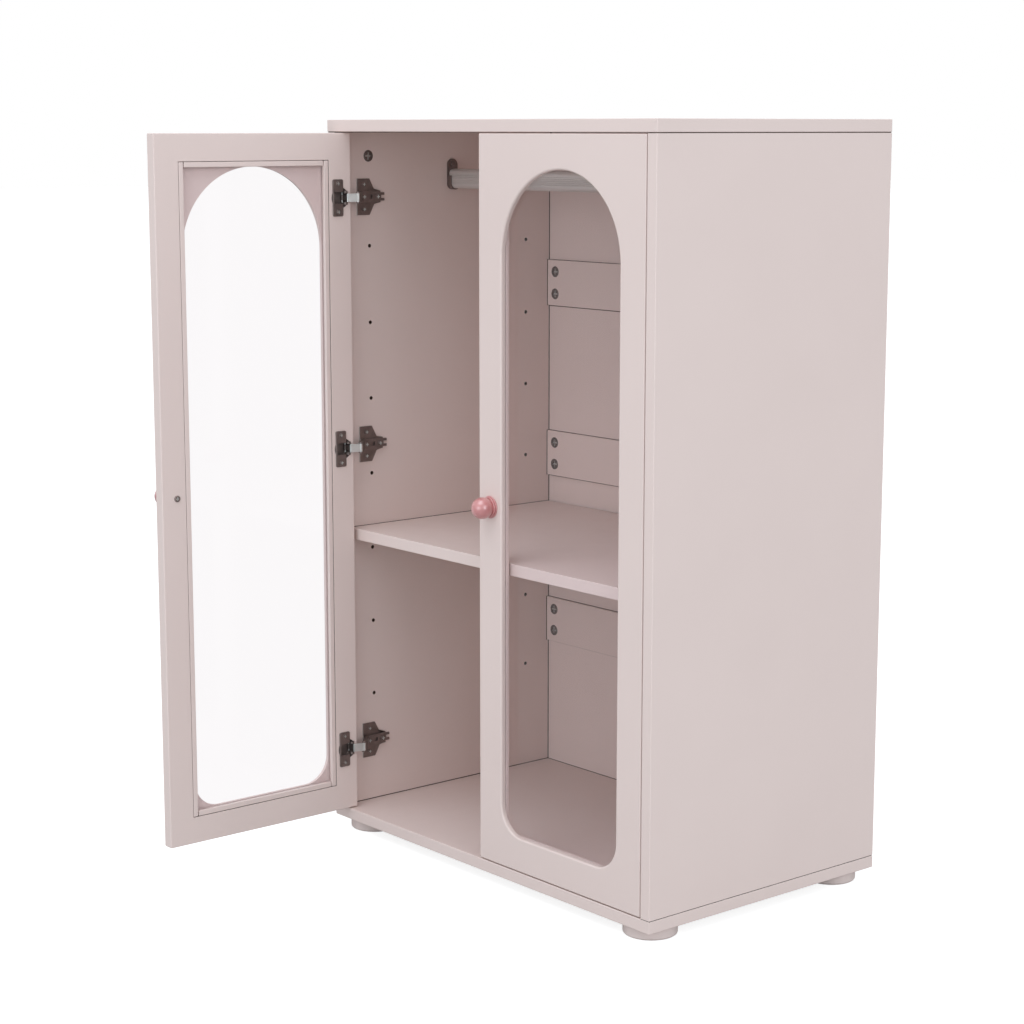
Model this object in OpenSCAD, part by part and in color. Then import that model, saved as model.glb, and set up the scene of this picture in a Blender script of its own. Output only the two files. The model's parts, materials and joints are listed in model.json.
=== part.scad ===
// Children's wardrobe: a board carcass on four round feet, two inset doors with
// arched glazing on concealed hinges, a fixed shelf, a hanging rod and a framed back.
// X runs to the right, -Y is the front and +Z is up. The origin is on the floor,
// under the middle of the body. The left door stands open and the right door is shut.

/* [Body] */
// Width of the body over its sides
body_w = 616; // [520:1:760]
// Depth of the body from the front edges to the back edges
body_d = 384; // [340:1:460]
// Height of the body without its feet
body_h = 924; // [860:1:1060]
// Thickness of the boards
board_t = 15; // [14.5:0.5:18]

/* [Feet] */
// Diameter of a foot
foot_dia = 65; // [50:1:72]
// Height of a foot
foot_h = 15; // [12:1:40]
// Centre of a foot from the outer faces of the body
foot_inset = 38; // [36:1:60]
// Rounding of a foot's lower edge
foot_round = 3; // [1:0.5:5]

/* [Doors] */
// Thickness of a door
door_t = 15; // [14.5:0.5:16]
// Gap round the outside of each door
door_gap = 1.5; // [1.5:0.25:3]
// Gap between the two doors
door_mid_gap = 2; // [2:0.25:4]
// Rounding of the doors' upright edges
door_round = 1.2; // [1:0.1:2]
// Angle at which the left door stands open
left_open = 90; // [0:5:95]
// Angle at which the right door stands open
right_open = 0; // [0:5:95]

/* [Glazing] */
// Width of the door frame beside the rebate for the glass
frame_w = 34; // [30:1:50]
// Width of a glazing bead, which ends level with the arch
bead_w = 7.75; // [6:0.25:12]
// Depth of the door face in front of the glass
lip_t = 6; // [5:0.5:7]
// Thickness of the glass
glass_t = 4; // [3:0.5:5]
// Gap round the glass in its rebate
glass_gap = 0.5; // [0.25:0.25:1.5]
// Radius of the arch's lower corners
arch_corner_r = 36; // [10:1:60]

/* [Knobs] */
// Diameter of the ball of a knob
knob_dia = 26.6; // [20:0.2:34]
// Centre of the ball in front of the door
knob_reach = 12.8; // [12:0.2:20]
// Diameter of the base ring of a knob
knob_base_dia = 27.4; // [20:0.2:34]
// Centre of a knob from the door's free edge
knob_inset = 21; // [18:0.5:24]
// Height of the knobs above the underside of the body
knob_height = 461.7; // [380:0.1:560]

/* [Hinges] */
// Centres of the outer hinges from the top and bottom of the body
hinge_end = 98.5; // [70:0.5:120]
// Height of the middle hinge above the middle of the body
hinge_mid_rise = 39.7; // [0:0.1:60]
// Diameter of the hinge cup
cup_dia = 26; // [26:0.5:28]
// Depth of the hinge cup in the door
cup_depth = 11.3; // [11.3:0.1:12]
// Centre of the cup from the door's hinge edge
cup_inset = 16.9; // [16.5:0.1:17.5]
// Height of the cup's flange with its two ears
cup_flange_h = 47; // [44:0.5:52]
// Width of the cup's ears
cup_flange_w = 16; // [14:0.5:18]
// Thickness of the cup's ears
cup_flange_t = 1.8; // [1.2:0.1:2]
// Diameter of the hinge pins
pin_dia = 2; // [1.8:0.1:2.2]
// Radial running clearance of the pins in the links
pin_fit = 0.05; // [0.02:0.01:0.1]
// Height of a hinge link
link_h = 10.5; // [9:0.5:11]
// Height of a mounting plate
plate_h = 47; // [44:0.5:56]
// Front edge of a mounting plate behind the front of the body
plate_front = 34.4; // [33:0.1:36]
// Thickness of a mounting plate
plate_t = 3; // [2.5:0.1:3.5]

/* [Shelf and rod] */
// Height of the shelf's upper face above the underside of the body
shelf_height = 392.7; // [385:0.1:395]
// Shelf front edge behind the front of the body
shelf_setback = 18.4; // [18:0.1:30]
// Centre of the rod below the top of the body
rod_drop = 76.8; // [60:0.1:140]
// Width of the oval rod
rod_w = 13; // [11:0.5:16]
// Height of the oval rod
rod_h = 26; // [22:0.5:30]
// Wall of the rod
rod_wall = 1.2; // [1:0.1:2]

/* [Back] */
// Height of a back rail
rail_h = 63; // [55:1:90]
// Thickness of a back panel
panel_t = 5; // [3:0.5:6]
// Front face of the back panels before the back edges of the body
panel_inset = 17.6; // [17:0.1:24]
// Front face of the rails before the front face of the panels
rail_proud = 2.9; // [2.4:0.1:4]
// Depth of the grooves that hold the back panels
groove_depth = 5; // [4:0.5:6]

/* [Fixings] */
// Diameter of the cam locks
cam_dia = 15; // [12:0.5:15]
// Depth of the cam locks
cam_depth = 10.5; // [10:0.5:12]
// Centre of a rail's or shelf's cam from the side of the body
cam_reach = 16.3; // [12:0.1:24]
// Centre of a side's cam below the top board
side_cam_reach = 31; // [24:0.5:34]
// Diameter of the connecting bolts
bolt_dia = 6; // [5:0.5:7]
// Diameter of the dowels
dowel_dia = 8; // [6:0.5:8]
// Length of the dowels
dowel_len = 30; // [24:1:34]
// Diameter of the shelf pin holes
pin_hole_dia = 5; // [4:0.5:6]
// Depth of the shelf pin holes
pin_hole_depth = 9; // [7:0.5:11]
// Spacing of the shelf pin holes
pin_hole_pitch = 100; // [64:4:100]
// Lowest shelf pin hole above the underside of the body
pin_hole_first = 161.9; // [150:0.1:170]

/* [Hidden] */
$fn = 64;

// Colours as the photograph shows them
paint_pink = "#ddd0ce";
knob_pink = "#d98b8b";
nickel_dark = "#6e6460";
zinc_bright = "#b9b6b2";
aluminium_grey = "#a8a29f";
glass_clear = "#e8f0f0";
beech = "#d8b98c";

// A cut runs this far past the face that it opens
over = 1;
// Small gap between a fastener and its hole
fastener_fit = 0.05;

// Places of the carcass
inner_x = body_w / 2 - board_t;
front_y = -body_d / 2;
body_z0 = foot_h;
body_z1 = foot_h + body_h;
side_z0 = body_z0 + board_t;
side_z1 = body_z1 - board_t;
side_h = side_z1 - side_z0;

// Doors, with u measured inwards from a side and v backwards from the front
door_w = inner_x - door_gap - door_mid_gap / 2;
door_h = side_h - 2 * door_gap;
door_z0 = side_z0 + door_gap;
rebate_w = door_w - 2 * frame_w;
rebate_h = door_h - 2 * frame_w;
arch_w = rebate_w - 2 * bead_w;
arch_r = arch_w / 2;
arch_z0 = frame_w + bead_w;
arch_lift = 0.75;
arch_z1 = door_h - frame_w - bead_w + arch_lift;
bead_t = door_t - lip_t - glass_t;
bead_pin_r = 0.6;
bead_pin_grip = 3.5;
bead_pin_end = 60;
knob_u = door_gap + door_w - knob_inset;
knob_z = body_z0 + knob_height;

// Hinge pins: the link turns a little against the door, at a fixed ratio
cup_pin_inset = 7.2;
cup_pin_depth = 9;
cup_pin = [door_gap + cup_pin_inset, door_t - cup_pin_depth];
arm_pin_u = 24.98;
arm_pin_rise = 3.86;
arm_pin = [arm_pin_u, door_t + arm_pin_rise];
link_elbow_u = 19.7;
link_elbow_depth = 9.7;
link_elbow = [link_elbow_u, door_t - link_elbow_depth];
link_turn = 6.655;
hinge_zs = [
    body_z0 + hinge_end,
    body_z0 + body_h / 2 + hinge_mid_rise,
    body_z1 - hinge_end
];
cup_u = door_gap + cup_inset;
cup_r = cup_dia / 2;
cup_wall = 0.5;
cup_rim_r = cup_r + 0.4;
cup_rim_t = 0.8;
ear_u0 = door_gap + 12.8;
cup_screw_rise = 18;
cup_screw_r = 1.75;
cup_head_r = 3.2;
cup_head_t = 1.2;
cup_screw_grip = 11;
cup_slot_end = 1.7;
cup_lug_gap = 0.3;
cup_lug_r = 2.2;
cup_pin_len = 13;
pin_r = pin_dia / 2;
tongue_h = 7;
tongue_eye_r = 1.6;
link_eye_r = 2.4;
link_half = 0.6;
link_elbow_r = 0.75;
link_back = 1.9;
arm_gap = 0.3;
arm_wall = 1.5;
arm_h = link_h + 2 * (arm_gap + arm_wall);
arm_nose_r = 2.9;
arm_eye_gap = 0.8;
arm_mouth = 8;
arm_top = 5.5;
arm_end = 69;
arm_crank_v = 40;
arm_nose = [2.2, 1.9];
arm_front_rise = 3;
arm_slot_v0 = 51;
arm_slot_v1 = 56;
arm_slot_h = 5;
arm_slot_t = 3;
arm_seat_lift = 0.4;
plate_wing_t = 2;
plate_wing_v = 54;
plate_seat_v = 71;
plate_foot_v = 73;
plate_tail = [
    [61.5, 9.5], [66.9, 8.2], [plate_seat_v, 7.6], [71.6, 5.3],
    [78.2, 5.3], [78.2, 2], [plate_foot_v, 2]
];
plate_screw_back = 10.6;
plate_screw_v = plate_front + plate_screw_back;
plate_screw_rise = 16;
plate_screw_r = 1.9;
plate_head_r = 3.2;
plate_head_t = 1.4;
plate_screw_grip = 11;
arm_screw_front_v = 42.5;
arm_screw_rear_v = 64.5;
arm_screw_vs = [arm_screw_front_v, arm_screw_rear_v];
arm_screw_r = 2;
arm_head_r = 3.6;
arm_head_t = 1.6;

// Shelf, rod and back
shelf_z0 = body_z0 + shelf_height - board_t;
rod_v = body_d / 2;
rod_z = body_z1 - rod_drop;
socket_t = 2.5;
socket_rim = 8.5;
socket_wall = 1.5;
socket_fit = 0.1;
socket_w = rod_w + 2 * (socket_wall + socket_fit);
socket_low = rod_h / 2 + socket_fit + socket_wall;
socket_high = 26.1;
socket_screw_rise = 19.4;
socket_mouth = 4;
socket_screw_r = 1.75;
socket_head_r = 3.2;
socket_head_t = 1.4;
socket_screw_grip = 11;
rod_end_gap = 0.5;
rail_gap = (side_h - 3 * rail_h) / 4;
rail_zs = [for (i = [1:3]) side_z0 + i * rail_gap + (i - 1) * rail_h];
panel_setback = body_d - panel_inset;
rail_setback = panel_setback - rail_proud;
rail_t = board_t;
rail_mid_v = rail_setback + rail_t / 2;
panel_fit = 0.1;
panel_end_gap = 0.5;

// Fixings
cam_slot_depth = 1.5;
cam_slot_len = 8;
cam_slot_w = 1.5;
rail_cam_lift = 16.2;
bolt_grip = 11;
dowel_grip = 10;
side_cam_v = 53.9;
side_cam_vs = [side_cam_v, body_d - side_cam_v];
side_cam_z = side_z1 - side_cam_reach;
top_dowel_v = 100;
top_dowel_vs = [top_dowel_v, body_d - top_dowel_v];
bottom_dowel_v = 60;
bottom_dowel_vs = [bottom_dowel_v, body_d / 2];
bottom_screw_v = 90;
bottom_screw_vs = [bottom_screw_v, body_d - bottom_screw_v];
shelf_cam_v = 75;
shelf_cam_rear_v = 90;
shelf_cam_vs = [shelf_cam_v, body_d - shelf_cam_rear_v];
pin_hole_v = 54.6;
pin_hole_rear_v = 59.7;
pin_hole_vs = [pin_hole_v, body_d - pin_hole_rear_v];
pin_hole_top = 60;
pin_hole_count = floor((side_h - pin_hole_first - pin_hole_top) / pin_hole_pitch) + 1;
screw_r = 3.5;
screw_head_r = 5;
screw_head_t = 3;
screw_len = 47;
foot_screw_r = 2;
foot_head_r = 4.2;
foot_head_t = 3;
foot_floor = 8;
foot_recess = foot_h - foot_floor;
foot_screw_grip = 12;
foot_recess_gap = 1;
knob_screw_r = 2;
knob_head_r = 4;
knob_head_t = 1.8;
knob_screw_grip = 12;
knob_ring_t = 2;
knob_top_ring_t = 1.8;
knob_ring_gap = 0.6;
knob_ring_step = 0.9;
knob_neck_step = 2.6;
knob_neck_len = 6;
knob_ball_from = 4;

// General shapes

// A round bar along X
module bar_x(r, x0, x1) {
    translate([x0, 0, 0])
        rotate([0, 90, 0])
            cylinder(r = r, h = x1 - x0);
}

// A round bar along Y
module bar_y(r, y0, y1) {
    translate([0, y1, 0])
        rotate([90, 0, 0])
            cylinder(r = r, h = y1 - y0);
}

// A block between two corners
module block(low, high) {
    translate(low)
        cube(high - low);
}

// A flat outline with round ends, centred
module stadium(w, h) {
    square([w, h - w], center = true);
    for (end = [-1, 1])
        translate([0, end * (h - w) / 2])
            circle(d = w);
}

// A rectangle with round corners, from its lower left corner
module round_rect(w, h, r) {
    translate([r, 0])
        square([w - 2 * r, h]);
    translate([0, r])
        square([w, h - 2 * r]);
    for (x = [r, w - r], y = [r, h - r])
        translate([x, y])
            circle(r = r);
}

// The outline of a straight link between two points, with its width to each hand
module link_outline(from, to, left, right) {
    way = (to - from) / norm(to - from);
    hand = [-way[1], way[0]];
    polygon([
        from + hand * left,
        to + hand * left,
        to - hand * right,
        from - hand * right
    ]);
}

// Places

// One side of the body: u runs inwards along X, v backwards along Y
module at_side(side) {
    mirror([side > 0 ? 1 : 0, 0, 0])
        translate([-inner_x, front_y, 0])
            children();
}

// Turns pieces about an upright pin
module turn_about(pin, angle) {
    translate([pin[0], pin[1], 0])
        rotate([0, 0, angle])
            translate([-pin[0], -pin[1], 0])
                children();
}

// The links of a door that stands open by an angle
module link_pose(side) {
    open = side > 0 ? right_open : left_open;
    at_side(side)
        turn_about(arm_pin, link_turn * open / 90)
            children();
}

// A door that stands open by an angle, carried by its links
module door_pose(side) {
    open = side > 0 ? right_open : left_open;
    link_pose(side)
        turn_about(cup_pin, -open - link_turn * open / 90)
            children();
}

// Repeats a hinge piece at every hinge of a door
module each_hinge() {
    for (z = hinge_zs)
        translate([0, 0, z])
            children();
}

// Cam locks and their bolts

// A cam with its slotted face at z = 0, which takes a bolt from +X
module cam_lock() {
    color(nickel_dark)
    difference() {
        translate([0, 0, -cam_depth])
            cylinder(d = cam_dia - 2 * fastener_fit, h = cam_depth);
        translate([0, 0, -board_t / 2])
            bar_x(bolt_dia / 2 + fastener_fit, -over, cam_dia);
        for (turn = [0, 90])
            rotate([0, 0, turn])
                block(
                    [-cam_slot_len / 2, -cam_slot_w / 2, -cam_slot_depth],
                    [cam_slot_len / 2, cam_slot_w / 2, over]
                );
    }
}

// The cam itself, its bolt or the holes for both; reach is to the face they pull against
module cam_part(kind, reach) {
    if (kind == "lock")
        cam_lock();
    if (kind == "bolt")
        color(zinc_bright)
        translate([0, 0, -board_t / 2])
            bar_x(bolt_dia / 2, 0, reach + bolt_grip);
    if (kind == "holes") {
        translate([0, 0, -cam_depth])
            cylinder(d = cam_dia, h = cam_depth + over);
        translate([0, 0, -board_t / 2])
            bar_x(bolt_dia / 2 + fastener_fit, 0, reach + bolt_grip);
    }
}

// Cams that hold the top board on one side
module top_cams(side, kind) {
    at_side(side)
        for (v = side_cam_vs)
            translate([0, v, side_cam_z])
                rotate([0, -90, 0])
                    rotate([180, 0, 0])
                        cam_part(kind, side_cam_reach);
}

// Cams that hold a back rail on one side
module rail_cams(side, kind, rail_z) {
    at_side(side)
        for (lift = [rail_cam_lift, rail_h - rail_cam_lift])
            translate([cam_reach, rail_setback, rail_z + lift])
                rotate([90, 0, 0])
                    rotate([0, 0, 180])
                        cam_part(kind, cam_reach);
}

// Cams that hold the shelf on one side
module shelf_cams(side, kind) {
    at_side(side)
        for (v = shelf_cam_vs)
            translate([cam_reach, v, shelf_z0])
                rotate([0, 180, 0])
                    cam_part(kind, cam_reach);
}

module all_cams(kind) {
    for (side = [-1, 1]) {
        top_cams(side, kind);
        shelf_cams(side, kind);
        for (z = rail_zs)
            rail_cams(side, kind, z);
    }
}

// Dowels and screws of the carcass

module dowel_set(fit) {
    for (side = [-1, 1])
        at_side(side) {
            for (v = top_dowel_vs)
                translate([-board_t / 2, v, side_z1 + dowel_grip - dowel_len])
                    cylinder(r = dowel_dia / 2 + fit, h = dowel_len);
            for (v = bottom_dowel_vs)
                translate([-board_t / 2, v, side_z0 - dowel_grip])
                    cylinder(r = dowel_dia / 2 + fit, h = dowel_len);
        }
}

module bottom_screw_set(fit) {
    for (side = [-1, 1], v = bottom_screw_vs)
        at_side(side)
            translate([-board_t / 2, v, body_z0]) {
                cylinder(r = screw_head_r + fit, h = screw_head_t);
                cylinder(r = screw_r + fit, h = screw_len);
            }
}

// Corners where the feet and their screws stand
module at_foot(side, end) {
    translate([side * (body_w / 2 - foot_inset), end * (body_d / 2 - foot_inset), 0])
        children();
}

module foot_screw(fit) {
    translate([0, 0, foot_recess - foot_head_t])
        cylinder(r = foot_head_r + fit, h = foot_head_t);
    translate([0, 0, foot_recess - over])
        cylinder(r = foot_screw_r + fit, h = foot_h - foot_recess + foot_screw_grip + over);
}

module all_foot_screws(fit) {
    for (side = [-1, 1], end = [-1, 1])
        at_foot(side, end)
            foot_screw(fit);
}

module foot(side, end) {
    color(paint_pink)
    at_foot(side, end)
        difference() {
            rotate_extrude() {
                square([foot_dia / 2 - foot_round, foot_h]);
                translate([0, foot_round])
                    square([foot_dia / 2, foot_h - foot_round]);
                intersection() {
                    translate([foot_dia / 2 - foot_round, foot_round])
                        circle(r = foot_round);
                    square([foot_dia, foot_h]);
                }
            }
            translate([0, 0, -over])
                cylinder(r = foot_head_r + foot_recess_gap, h = foot_recess + over);
            foot_screw(fastener_fit);
        }
}

// Boards of the carcass

// The groove that takes the edges of the back panels, between two heights
module panel_groove(z0, z1, reach) {
    block(
        [-reach, front_y + panel_setback - panel_fit, z0],
        [reach, front_y + panel_setback + panel_t + panel_fit, z1]
    );
}

module top_board() {
    color(paint_pink)
    difference() {
        block([-body_w / 2, front_y, side_z1], [body_w / 2, -front_y, body_z1]);
        panel_groove(side_z1 - over, side_z1 + groove_depth, inner_x + groove_depth);
        top_cams(-1, "holes");
        top_cams(1, "holes");
        dowel_set(fastener_fit);
    }
}

module bottom_board() {
    color(paint_pink)
    difference() {
        block([-body_w / 2, front_y, body_z0], [body_w / 2, -front_y, side_z0]);
        panel_groove(side_z0 - groove_depth, side_z0 + over, inner_x + groove_depth);
        dowel_set(fastener_fit);
        bottom_screw_set(fastener_fit);
        all_foot_screws(fastener_fit);
    }
}

module side_board(side) {
    color(paint_pink)
    difference() {
        at_side(side)
            difference() {
                block([-board_t, 0, side_z0], [0, body_d, side_z1]);
                for (v = pin_hole_vs, i = [0:pin_hole_count - 1])
                    translate([0, v, body_z0 + pin_hole_first + i * pin_hole_pitch])
                        bar_x(pin_hole_dia / 2, -pin_hole_depth, over);
                each_hinge()
                    plate_screws(fastener_fit);
                socket_screw(fastener_fit);
            }
        panel_groove(side_z0 - over, side_z1 + over, inner_x + groove_depth);
        top_cams(side, "holes");
        shelf_cams(side, "holes");
        for (z = rail_zs)
            rail_cams(side, "holes", z);
        dowel_set(fastener_fit);
        bottom_screw_set(fastener_fit);
    }
}

module back_rail(i) {
    z = rail_zs[i];
    reach = inner_x + groove_depth;
    color(paint_pink)
    difference() {
        block(
            [-inner_x, front_y + rail_setback, z],
            [inner_x, front_y + rail_setback + rail_t, z + rail_h]
        );
        panel_groove(z - over, z + groove_depth, reach);
        panel_groove(z + rail_h - groove_depth, z + rail_h + over, reach);
        rail_cams(-1, "holes", z);
        rail_cams(1, "holes", z);
    }
}

// The panel in one of the four spaces of the back, counted from the bottom
module back_panel(i) {
    z0 = i == 0 ? side_z0 : rail_zs[i - 1] + rail_h;
    z1 = z0 + rail_gap;
    tongue = groove_depth - panel_end_gap;
    color(paint_pink)
    block(
        [-inner_x - tongue, front_y + panel_setback, z0 - tongue],
        [inner_x + tongue, front_y + panel_setback + panel_t, z1 + tongue]
    );
}

module shelf() {
    color(paint_pink)
    difference() {
        block(
            [-inner_x, front_y + shelf_setback, shelf_z0],
            [inner_x, front_y + panel_setback, shelf_z0 + board_t]
        );
        shelf_cams(-1, "holes");
        shelf_cams(1, "holes");
    }
}

// Hanging rod and its sockets

module along_u(length) {
    rotate([90, 0, 90])
        linear_extrude(height = length)
            children();
}

module hanging_rod() {
    length = 2 * (inner_x - socket_t - rod_end_gap);
    color(aluminium_grey)
    translate([-length / 2, front_y + rod_v, rod_z])
        along_u(length)
            difference() {
                stadium(rod_w, rod_h);
                stadium(rod_w - 2 * rod_wall, rod_h - 2 * rod_wall);
            }
}

module socket_screw(fit) {
    translate([0, rod_v, rod_z + socket_screw_rise]) {
        bar_x(socket_head_r + fit, socket_t, socket_t + socket_head_t);
        bar_x(socket_screw_r + fit, -socket_screw_grip, socket_t + over / 2);
    }
}

module rod_socket(side) {
    color(nickel_dark)
    at_side(side)
        difference() {
            translate([0, rod_v, rod_z]) {
                along_u(socket_t)
                    translate([0, (socket_high - socket_low) / 2])
                        stadium(socket_w, socket_high + socket_low);
                along_u(socket_rim)
                    difference() {
                        stadium(socket_w, 2 * socket_low);
                        stadium(rod_w + 2 * socket_fit, rod_h + 2 * socket_fit);
                        translate([-socket_w, socket_mouth])
                            square([2 * socket_w, socket_low]);
                    }
            }
            socket_screw(fastener_fit);
        }
}

// Doors: each is drawn shut in its side's u, v and z, with its hinge edge at door_gap

// A flat shape in s and height, given a depth behind the door's face
module in_door(v0, v1) {
    translate([door_gap, v1, door_z0])
        rotate([90, 0, 0])
            linear_extrude(height = v1 - v0)
                children();
}

module arch_outline() {
    left = (door_w - arch_w) / 2;
    spring = arch_z1 - arch_r;
    translate([left, arch_z0 + arch_corner_r])
        square([arch_w, spring - arch_z0 - arch_corner_r]);
    translate([left + arch_corner_r, arch_z0])
        square([arch_w - 2 * arch_corner_r, spring - arch_z0]);
    for (x = [left + arch_corner_r, left + arch_w - arch_corner_r])
        translate([x, arch_z0 + arch_corner_r])
            circle(r = arch_corner_r);
    translate([door_w / 2, spring])
        circle(r = arch_r);
}

module door_panel(side) {
    color(paint_pink)
    door_pose(side)
        difference() {
            translate([door_gap, 0, door_z0])
                linear_extrude(height = door_h)
                    round_rect(door_w, door_t, door_round);
            in_door(-over, lip_t + over)
                arch_outline();
            in_door(lip_t, door_t + over)
                translate([frame_w, frame_w])
                    square([rebate_w, rebate_h]);
            each_hinge() {
                translate([cup_u, 0, 0])
                    bar_y(cup_r + fastener_fit, door_t - cup_depth - fastener_fit, door_t + over);
                cup_screws(fastener_fit);
            }
            bead_pins(fastener_fit);
            knob_screw_shape(fastener_fit);
        }
}

module door_glass(side) {
    color(glass_clear)
    door_pose(side)
        in_door(lip_t, lip_t + glass_t)
            translate([frame_w + glass_gap, frame_w + glass_gap])
                square([rebate_w - 2 * glass_gap, rebate_h - 2 * glass_gap]);
}

// A bead along one edge of the rebate, less the holes of its pins
module bead(side, s, z, w, h) {
    color(paint_pink)
    door_pose(side)
        difference() {
            in_door(lip_t + glass_t, door_t)
                translate([s, z])
                    square([w, h]);
            bead_pins(fastener_fit);
        }
}

module hinge_side_bead(side) {
    bead(side, frame_w, frame_w, bead_w, rebate_h);
}

module free_side_bead(side) {
    bead(side, door_w - frame_w - bead_w, frame_w, bead_w, rebate_h);
}

module bottom_bead(side) {
    bead(side, frame_w + bead_w, frame_w, arch_w, bead_w);
}

module top_bead(side) {
    bead(side, frame_w + bead_w, door_h - frame_w - bead_w, arch_w, bead_w);
}

// Headless pins from the inner edges of the beads into the frame
module bead_pins(fit) {
    reach = bead_w + bead_pin_grip;
    step = (rebate_h - 2 * bead_pin_end) / 3;
    r = bead_pin_r + fit;
    translate([door_gap, lip_t + glass_t + bead_t / 2, door_z0]) {
        for (i = [0:3])
            translate([0, 0, frame_w + bead_pin_end + i * step]) {
                bar_x(r, frame_w + bead_w - reach, frame_w + bead_w);
                bar_x(r, door_w - frame_w - bead_w, door_w - frame_w - bead_w + reach);
            }
        for (share = [1 / 4, 3 / 4])
            translate([frame_w + bead_w + share * arch_w, 0, 0]) {
                translate([0, 0, frame_w + bead_w - reach])
                    cylinder(r = r, h = reach);
                translate([0, 0, door_h - frame_w - bead_w])
                    cylinder(r = r, h = reach);
            }
    }
}

module knob_screw_shape(fit) {
    translate([knob_u, 0, knob_z]) {
        bar_y(knob_head_r + fit, door_t, door_t + knob_head_t);
        bar_y(knob_screw_r + fit, -knob_screw_grip, door_t + over / 2);
    }
}

module knob_screw(side) {
    color(zinc_bright)
    door_pose(side)
        knob_screw_shape(0);
}

// A ball on two rings
module knob(side) {
    color(knob_pink)
    door_pose(side)
        difference() {
            translate([knob_u, 0, knob_z])
                rotate([90, 0, 0])
                    rotate_extrude() {
                        knob_ring(knob_base_dia / 2, 0, knob_ring_t);
                        knob_ring(
                            knob_base_dia / 2 - knob_ring_step,
                            knob_ring_t + knob_ring_gap,
                            knob_ring_t + knob_ring_gap + knob_top_ring_t
                        );
                        square([knob_dia / 2 - knob_neck_step, knob_neck_len]);
                        intersection() {
                            translate([0, knob_reach])
                                circle(d = knob_dia);
                            translate([0, knob_ball_from])
                                square(knob_dia * 2);
                        }
                    }
            knob_screw_shape(fastener_fit);
        }
}

// The half section of a ring with a round outer edge
module knob_ring(r, y0, y1) {
    edge = (y1 - y0) / 2;
    translate([0, y0])
        square([r - edge, y1 - y0]);
    translate([r - edge, y0 + edge])
        circle(r = edge);
}

// Hinges: each piece is drawn about the middle of its hinge, with its door shut

module across(h) {
    translate([0, 0, -h / 2])
        linear_extrude(height = h)
            children();
}

module upright_pin(pin, r, h) {
    translate([pin[0], pin[1], -h / 2])
        cylinder(r = r, h = h);
}

module cup_screws(fit) {
    for (rise = [-cup_screw_rise, cup_screw_rise])
        translate([ear_u0 + cup_flange_w / 2, 0, rise]) {
            bar_y(cup_head_r + fit, door_t + cup_flange_t, door_t + cup_flange_t + cup_head_t);
            bar_y(cup_screw_r + fit, door_t - cup_screw_grip, door_t + cup_flange_t + over / 2);
        }
}

// The flange over the cup's mouth, with a slot that lets the arm and its links pass
module cup_cover() {
    top = door_t + cup_flange_t + over;
    end = ear_u0 + cup_flange_w;
    slot_h = arm_h + 2 * arm_gap;
    difference() {
        block([ear_u0, door_t, -cup_r], [end, top + over, cup_r]);
        block([ear_u0 - over, door_t - over, -slot_h / 2], [end - cup_slot_end, top + over, slot_h / 2]);
    }
}

module hinge_cup() {
    floor_v = door_t - cup_depth;
    difference() {
        union() {
            translate([cup_u, 0, 0])
                bar_y(cup_r, floor_v, door_t);
            translate([cup_u, 0, 0])
                bar_y(cup_rim_r, door_t, door_t + cup_rim_t);
            block(
                [ear_u0, door_t, -cup_flange_h / 2],
                [ear_u0 + cup_flange_w, door_t + cup_flange_t, cup_flange_h / 2]
            );
        }
        difference() {
            translate([cup_u, 0, 0])
                bar_y(cup_r - cup_wall, floor_v + cup_wall, door_t + cup_flange_t + over);
            for (end = [-1, 1])
                translate([0, 0, end * (tongue_h / 2 + cup_lug_gap + cup_r)])
                    translate([cup_pin[0], cup_pin[1], 0])
                        cube([2 * cup_lug_r, 2 * cup_lug_r + over, 2 * cup_r], center = true);
            cup_cover();
        }
        upright_pin(cup_pin, pin_r + fastener_fit / 2, cup_pin_len);
        cup_screws(fastener_fit);
    }
}

module hinge_link() {
    difference() {
        union() {
            across(tongue_h) {
                link_outline(cup_pin, link_elbow, link_half, link_half);
                translate(cup_pin)
                    circle(r = tongue_eye_r);
            }
            across(link_h) {
                link_outline(link_elbow, arm_pin, link_half, link_back);
                translate(link_elbow)
                    circle(r = link_elbow_r);
                translate(arm_pin)
                    circle(r = link_eye_r);
            }
        }
        upright_pin(cup_pin, pin_r + pin_fit, link_h + over);
        upright_pin(arm_pin, pin_r + pin_fit, link_h + over);
    }
}

// The cranked arm: two cheeks that rest on the plate, joined by a top web
module hinge_arm() {
    nose = arm_pin + arm_nose;
    chin = arm_pin - arm_nose;
    crank = [arm_top, arm_crank_v];
    way = (nose - crank) / norm(nose - crank);
    under = [way[1], -way[0]] * arm_wall;
    difference() {
        across(arm_h) {
            polygon([
                [plate_t, arm_end],
                [arm_top, arm_end],
                crank,
                nose,
                chin,
                [plate_t, arm_crank_v - arm_front_rise]
            ]);
            translate(arm_pin)
                circle(r = arm_nose_r);
        }
        across(arm_h - 2 * arm_wall)
            polygon([
                [0, arm_end + over],
                [arm_top - arm_wall, arm_end + over],
                [arm_top - arm_wall, arm_crank_v - arm_wall * 0.4],
                crank + under + way * 2 * arm_wall,
                nose + under + way * arm_mouth,
                chin - [0, arm_mouth],
                [0, arm_crank_v - arm_mouth]
            ]);
        upright_pin(arm_pin, link_eye_r + arm_eye_gap, arm_h - 2 * arm_wall);
        upright_pin(arm_pin, pin_r + fastener_fit / 2, arm_h + over);
        block(
            [arm_top - arm_slot_t, arm_slot_v0, -arm_slot_h / 2],
            [arm_top + over, arm_slot_v1, arm_slot_h / 2]
        );
        arm_screws(fastener_fit);
    }
}

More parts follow.
